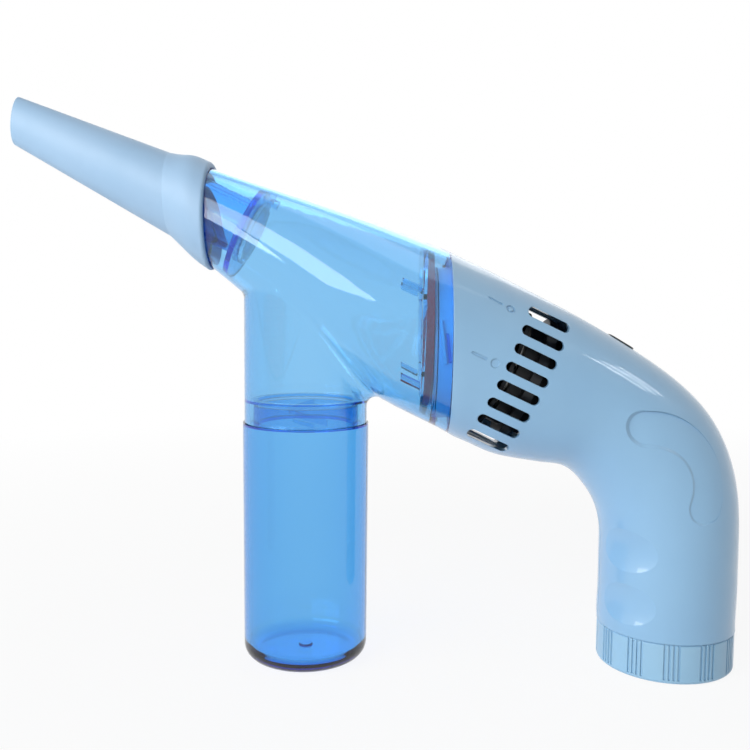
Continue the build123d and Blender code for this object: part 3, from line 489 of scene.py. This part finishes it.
@dataclass(frozen=True)
class Laminations:
    """Stack of stamped iron sheets, varnished: fine dark lines between dull grey edges.

    The sheets are 0.5 mm thick and lie square to the barrel's axis. The lines come from a wave:
    a gap lies where it is lowest, which makes the gaps narrower than the sheets.
    """

    name: str
    colour: str
    gap_colour: str
    sheet_mm: float = 0.5
    gap_depth_mm: float = 0.05
    gap_below: float = 0.1
    sheet_above: float = 0.4
    tilt_deg: float = 25.3
    varnish_mm: float = 2.0
    roughness: float = 0.4
    roughest: float = 0.6
    metallic: float = 0.7

    def build(self) -> bpy.types.Material:
        """Make the material and return it."""
        material, tree, place = start_material(self.name)
        turned = add_node(
            tree,
            "ShaderNodeMapping",
            {"Rotation": (0.0, -math.radians(self.tilt_deg), 0.0)},
            {"Vector": place},
        )
        lines = add_node(
            tree,
            "ShaderNodeTexWave",
            {"Scale": WAVE_LENGTH * per_mm(self.sheet_mm), "Distortion": 0.0},
            {"Vector": turned},
        )
        span = {"From Min": self.gap_below, "From Max": self.sheet_above}
        sheets = add_node(tree, "ShaderNodeMapRange", span, {"Value": lines})
        depth = {"Strength": 1.0, "Distance": self.gap_depth_mm * MM}
        close_opaque(
            tree,
            self.gap_colour,
            self.colour,
            sheets,
            {"Metallic": self.metallic},
            {
                "Roughness": patches(tree, place, self.varnish_mm, self.roughness, self.roughest),
                "Normal": add_node(tree, "ShaderNodeBump", depth, {"Height": sheets}),
            },
        )
        return material


@dataclass(frozen=True)
class Ferrite:
    """Pressed and fired ferrite: a dark ceramic with a grainy, slightly sparkling surface."""

    name: str
    colour: str
    shade: str
    grit_mm: float = 0.4
    grit_depth_mm: float = 0.03
    grit_detail: float = 4.0
    grit_contrast: float = 0.7
    roughness: float = 0.45
    roughest: float = 0.7
    ior: float = 1.7

    def build(self) -> bpy.types.Material:
        """Make the material and return it."""
        material, tree, place = start_material(self.name)
        grit = add_node(
            tree,
            "ShaderNodeTexNoise",
            {
                "Scale": per_mm(self.grit_mm),
                "Detail": self.grit_detail,
                "Roughness": self.grit_contrast,
            },
            {"Vector": place},
        )
        tone = add_node(tree, "ShaderNodeMapRange", PATTERN_BAND, {"Value": grit})
        span = PATTERN_BAND | {"To Min": self.roughness, "To Max": self.roughest}
        depth = {"Strength": 1.0, "Distance": self.grit_depth_mm * MM}
        close_opaque(
            tree,
            self.colour,
            self.shade,
            tone,
            {"IOR": self.ior},
            {
                "Roughness": add_node(tree, "ShaderNodeMapRange", span, {"Value": grit}),
                "Normal": add_node(tree, "ShaderNodeBump", depth, {"Height": grit}),
            },
        )
        return material


class Finishes:
    """Every finish on the part, built once and shared by the pieces that have it."""

    def __init__(self) -> None:
        """Build the materials."""
        # A textured mould gives the nozzle an even, soft surface without reflections.
        self.matte_blue = MouldedPlastic(
            "abs_moulded_matte_pale_blue", "A4C4E1", "9EC0DE", 0.5, grain_depth_mm=0.006,
        ).build()
        # A polished mould gives the handle clear reflections of the lamps on a soft base.
        self.gloss_blue = MouldedPlastic(
            "abs_moulded_gloss_pale_blue", "94C2E4", "90BEE1", 0.38, coat=0.7,
            coat_roughness=0.035, wave_depth_mm=0.006, edge_mm=0.5,
        ).build()
        # A duller mould leaves only blurred lights between the ribs of the battery cap.
        self.satin_blue = MouldedPlastic(
            "abs_moulded_satin_pale_blue", "A0CBE6", "9AC5E1", 0.36, coat=0.3,
            coat_roughness=0.12,
        ).build()
        # The ring behind the clear housing is a stronger blue, which shows through it.
        self.ring_blue = MouldedPlastic(
            "abs_moulded_ring_blue", "50B6E2", "4AAFDD", 0.4, coat=0.3, coat_roughness=0.12,
        ).build()
        # The clear pieces are pale where they are thin and deep blue along their edges. The cup
        # looks deepest, and the filter's holder is nearly colourless, so that the filter shows.
        self.clear_blue = ClearPlastic("san_moulded_clear_blue", "B2DEF8", "F5FAFF").build()
        self.duct_blue = ClearPlastic("san_moulded_duct_blue", "BAE4FA", "F5FAFF").build()
        self.faint_blue = ClearPlastic("san_moulded_faint_blue", "F0F8FE", "FCFEFF").build()
        self.clear_cup = ClearPlastic("san_moulded_deeper_blue", "9AD4F6", "EFF7FE").build()
        # Black pieces behind the vents stay dark and dull.
        self.black = MouldedPlastic(
            "abs_moulded_black", "0C0D12", "131419", 0.42, grain_depth_mm=0.01,
        ).build()
        # The grey rubber is dull, and the clear one lets the blue behind it through.
        self.silicone = Silicone("silicone_moulded_grey", "A9BCD0", "9AAEC4").build()
        self.clear_silicone = Silicone(
            "silicone_moulded_clear", "F0F5FA", "E4ECF5", clearness=0.97, roughness=0.12,
            roughness_spread=0.08,
        ).build()
        # The felt stays dull red from every side.
        self.felt = FilterFelt("felt_needled_red", "F0222E", "B41826").build()
        # Plating is bright and a little blurred, and a ground shaft has fine marks along it.
        self.steel = Metal("steel_nickel_plated", "C8C8C6", "BDBDBA", 0.24).build()
        self.shaft_steel = Metal(
            "steel_ground", "B9BABC", "A9AAAC", 0.2, Grain.ALONG_X,
        ).build()
        # Stamped brass is warm and blurred, and the fired magnet and the iron stay dark and dull.
        self.brass = Metal("brass_stamped", "D8B56A", "C9A254", 0.3).build()
        self.iron = Laminations("iron_laminated", "56524E", "1C1A19").build()
        self.ferrite = Ferrite("ferrite_fired", "2A2B2F", "1D1E21").build()
        # The cells' jackets have long soft streaks from drawing.
        self.cell_jacket = Metal(
            "steel_jacket_painted_silver", "9EA3AA", "8F949B", 0.38, Grain.ALONG_Z,
        ).build()
        # Extruded insulation is smooth, with a soft light along each wire.
        self.wire_red = MouldedPlastic("pvc_extruded_red", "B3202A", "A01B25", 0.4).build()
        self.wire_black = MouldedPlastic("pvc_extruded_black", "1B1B1D", "232325", 0.4).build()


def dress(node: str, material: bpy.types.Material) -> None:
    """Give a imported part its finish.

    Args:
        node: the part's name.
        material: the finish.
    """
    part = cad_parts[node]
    part.data.materials.clear()
    part.data.materials.append(material)
    LOG.info("dressed %s in %s", node, material.name)


@dataclass
class CleaningHead:
    """Nozzle, clear housing with its flap, cup and filter: all that the dust passes through."""

    finishes: Finishes

    def build(self) -> None:
        """Dress the pieces."""
        dress("nozzle", self.finishes.matte_blue)
        dress("dust_housing", self.finishes.clear_blue)
        dress("inlet_duct", self.finishes.duct_blue)
        dress("dust_cup", self.finishes.clear_cup)
        dress("filter_holder", self.finishes.faint_blue)
        dress("inlet_flap", self.finishes.clear_silicone)
        dress("cup_seal", self.finishes.clear_silicone)
        dress("front_seal", self.finishes.silicone)
        dress("filter_media", self.finishes.felt)


@dataclass
class Grip:
    """Curved handle with its vents, switch, screws and battery cap."""

    finishes: Finishes

    def build(self) -> None:
        """Dress the pieces."""
        dress("handle_left", self.finishes.gloss_blue)
        dress("handle_right", self.finishes.gloss_blue)
        dress("fan_cover", self.finishes.ring_blue)
        dress("battery_cap", self.finishes.satin_blue)
        dress("case_screws", self.finishes.steel)
        dress("switch_button", self.finishes.black)
        dress("switch_body", self.finishes.black)
        dress("switch_contacts", self.finishes.brass)


@dataclass
class MotorUnit:
    """Fan, motor and what holds them in the barrel."""

    finishes: Finishes

    def build(self) -> None:
        """Dress the pieces."""
        dress("impeller", self.finishes.black)
        dress("motor_shaft", self.finishes.shaft_steel)
        dress("motor_can", self.finishes.steel)
        dress("motor_endcap", self.finishes.black)
        dress("motor_terminals", self.finishes.brass)
        dress("motor_magnets", self.finishes.ferrite)
        dress("armature", self.finishes.iron)
        dress("motor_cradle", self.finishes.black)


@dataclass
class BatteryPack:
    """Four cells with their sleeve, contacts and wires."""

    finishes: Finishes
    cell_count: int = 4

    def build(self) -> None:
        """Dress the pieces."""
        for number in range(1, self.cell_count + 1):
            dress(f"battery_cell_{number}", self.finishes.cell_jacket)
        dress("battery_sleeve", self.finishes.black)
        dress("contact_carrier", self.finishes.black)
        dress("upper_contacts", self.finishes.steel)
        dress("cap_contact_plate", self.finishes.steel)
        dress("cap_springs", self.finishes.steel)
        dress("lead_red", self.finishes.wire_red)
        dress("lead_switch", self.finishes.wire_red)
        dress("lead_black", self.finishes.wire_black)


@dataclass(frozen=True)
class SoftBox:
    """Flat lamp that faces a point. Lengths are in metres and its power is in watts.

    It leans by an angle about the line to the point that it faces.
    """

    name: str
    place: Place
    size: tuple[float, float]
    power: float
    lean_deg: float = 0.0
    target: Place = PART_MIDDLE

    def hang(self) -> None:
        """Add the lamp to the scene."""
        data = bpy.data.lights.new(self.name, "AREA")
        data.shape = "RECTANGLE"
        data.size, data.size_y = self.size
        data.energy = self.power
        lamp = bpy.data.objects.new(self.name, data)
        bpy.context.scene.collection.objects.link(lamp)
        way = Vector(self.target) - Vector(self.place)
        lamp.rotation_mode = "QUATERNION"
        lean = Quaternion((0.0, 0.0, 1.0), math.radians(self.lean_deg))
        lamp.rotation_quaternion = way.to_track_quat("-Z", "Y") @ lean
        lamp.location = self.place


@dataclass
class Studio:
    """Plain pale room: a floor, white surroundings, large soft lamps and the camera."""

    floor_half: float = 6.0
    floor_drop: float = 0.0001
    floor_colour: str = "F4F5F6"
    floor_glow: float = 0.9
    floor_near: float = 0.2
    floor_far: float = 0.6
    ambient_colour: str = "EEF2F7"
    ambient_strength: float = 0.2
    light_bounces: int = 32
    tube_place: Place = (0.737, -0.224, 0.721)
    tube_step: tuple[float, float] = (0.026, 0.092)
    tube_size: tuple[float, float] = (0.02, 0.13)
    tube_power: float = 0.2
    camera_place: Place = (-0.088834, -0.284475, 0.115819)
    camera_yaw: float = -0.0211
    camera_pitch: float = 0.0837
    camera_roll: float = 0.0075
    camera_pixels: float = 890.68
    photo_width: float = 750.0
    sensor_mm: float = 36.0
    nearest_seen: float = 0.01
    farthest_seen: float = 50.0

    def build(self) -> None:
        """Make the floor, the surroundings, the lamps and the camera."""
        self.make_floor()
        self.make_world()
        self.make_lamps()
        self.make_camera()
        scene = bpy.context.scene
        scene.view_settings.view_transform = "Standard"
        scene.cycles.max_bounces = self.light_bounces
        scene.cycles.transmission_bounces = self.light_bounces
        scene.cycles.transparent_max_bounces = self.light_bounces

    @staticmethod
    def seen_directly(tree: bpy.types.NodeTree) -> bpy.types.Node:
        """Return a node that gives one for camera, glossy and transmission rays."""
        path = add_node(tree, "ShaderNodeLightPath")
        camera_or_glossy = add_node(
            tree,
            "ShaderNodeMath",
            {"operation": "MAXIMUM"},
            {0: path.outputs["Is Camera Ray"], 1: path.outputs["Is Glossy Ray"]},
        )
        return add_node(
            tree,
            "ShaderNodeMath",
            {"operation": "MAXIMUM"},
            {0: camera_or_glossy, 1: path.outputs["Is Transmission Ray"]},
        )

    def make_floor(self) -> None:
        """Lay a pale floor that keeps the part's shadow and turns white further out."""
        half = self.floor_half
        mesh = bpy.data.meshes.new("floor")
        corners = [(-half, -half), (half, -half), (half, half), (-half, half)]
        mesh.from_pydata([(x, y, -self.floor_drop) for x, y in corners], [], [(0, 1, 2, 3)])
        floor = bpy.data.objects.new("floor", mesh)
        bpy.context.scene.collection.objects.link(floor)
        material, tree, place = start_material("paper_white")
        paper = add_node(tree, "ShaderNodeBsdfDiffuse", {"Color": linear(self.floor_colour)})
        glow = add_node(tree, "ShaderNodeEmission", {"Color": WHITE, "Strength": 1.0})
        distance = add_node(tree, "ShaderNodeVectorMath", {"operation": "LENGTH"}, {0: place})
        glow_share = add_node(
            tree,
            "ShaderNodeMapRange",
            {
                "From Min": self.floor_near,
                "From Max": self.floor_far,
                "To Min": self.floor_glow,
                "To Max": 1.0,
            },
            {"Value": distance.outputs["Value"]},
        )
        share = add_node(
            tree,
            "ShaderNodeMath",
            {"operation": "MULTIPLY"},
            {0: self.seen_directly(tree), 1: glow_share},
        )
        surface = add_node(tree, "ShaderNodeMixShader", {}, {0: share, 1: paper, 2: glow})
        add_node(tree, "ShaderNodeOutputMaterial", {}, {"Surface": surface})
        mesh.materials.append(material)

    def make_world(self) -> None:
        """Surround the part with even light that the camera sees as white."""
        world = bpy.data.worlds.new("room")
        world.use_nodes = True
        tree = world.node_tree
        tree.nodes.clear()
        light = add_node(
            tree,
            "ShaderNodeBackground",
            {"Color": linear(self.ambient_colour), "Strength": self.ambient_strength},
        )
        white = add_node(tree, "ShaderNodeBackground", {"Color": WHITE, "Strength": 1.0})
        surface = add_node(
            tree, "ShaderNodeMixShader", {}, {0: self.seen_directly(tree), 1: light, 2: white}
        )
        add_node(tree, "ShaderNodeOutputWorld", {}, {"Surface": surface})
        bpy.context.scene.world = world

    def make_lamps(self) -> None:
        """Hang the soft boxes, and three tube lamps whose glints show on the elbow."""
        boxes = [
            SoftBox("key_softbox", place=(-0.9, -0.6, 0.42), size=(0.7, 0.5), power=6.3),
            SoftBox(
                "slant_strip", place=(-0.48, -0.84, 0.55), size=(0.4, 0.7), power=3.2, lean_deg=28.0
            ),
            SoftBox("fill_softbox", place=(0.65, -0.7, 0.35), size=(0.5, 0.6), power=0.05),
            SoftBox("top_softbox", place=(0.1, 0.15, 0.85), size=(0.7, 0.3), power=0.5),
            SoftBox("back_softbox", place=(-0.1, 0.9, 0.6), size=(0.9, 0.5), power=1.3),
        ]
        x, y, z = self.tube_place
        step_x, step_y = self.tube_step
        for number, steps in enumerate((-1, 0, 1), start=1):
            tube = SoftBox(
                f"tube_lamp_{number}",
                place=(x + step_x * steps, y + step_y * steps, z),
                size=self.tube_size,
                power=self.tube_power,
                target=ELBOW,
            )
            boxes.append(tube)
        for box in boxes:
            box.hang()

    def make_camera(self) -> None:
        """Place the camera where the fitted one stood."""
        data = bpy.data.cameras.new("camera")
        data.sensor_width = self.sensor_mm
        data.lens = self.camera_pixels * self.sensor_mm / self.photo_width
        data.clip_start = self.nearest_seen
        data.clip_end = self.farthest_seen
        camera = bpy.data.objects.new("camera", data)
        bpy.context.scene.collection.objects.link(camera)
        yaw, pitch, roll = self.camera_yaw, self.camera_pitch, self.camera_roll
        ahead = Vector(
            (
                math.sin(yaw) * math.cos(pitch),
                math.cos(yaw) * math.cos(pitch),
                -math.sin(pitch),
            )
        )
        level = Vector((math.cos(yaw), -math.sin(yaw), 0.0))
        upright = level.cross(ahead)
        right = level * math.cos(roll) + upright * math.sin(roll)
        top = upright * math.cos(roll) - level * math.sin(roll)
        turn = Matrix((right, top, -ahead)).transposed()
        camera.matrix_world = Matrix.Translation(self.camera_place) @ turn.to_4x4()
        bpy.context.scene.camera = camera


def main() -> None:
    """Build the pieces in order."""
    logging.basicConfig(level=logging.INFO, format="%(message)s")
    finishes = Finishes()
    for unit_class in (CleaningHead, Grip, MotorUnit, BatteryPack):
        unit_class(finishes).build()
        LOG.info("built %s", unit_class.__name__)
    Studio().build()
    LOG.info("built Studio")


if __name__ == "__main__":
    main()
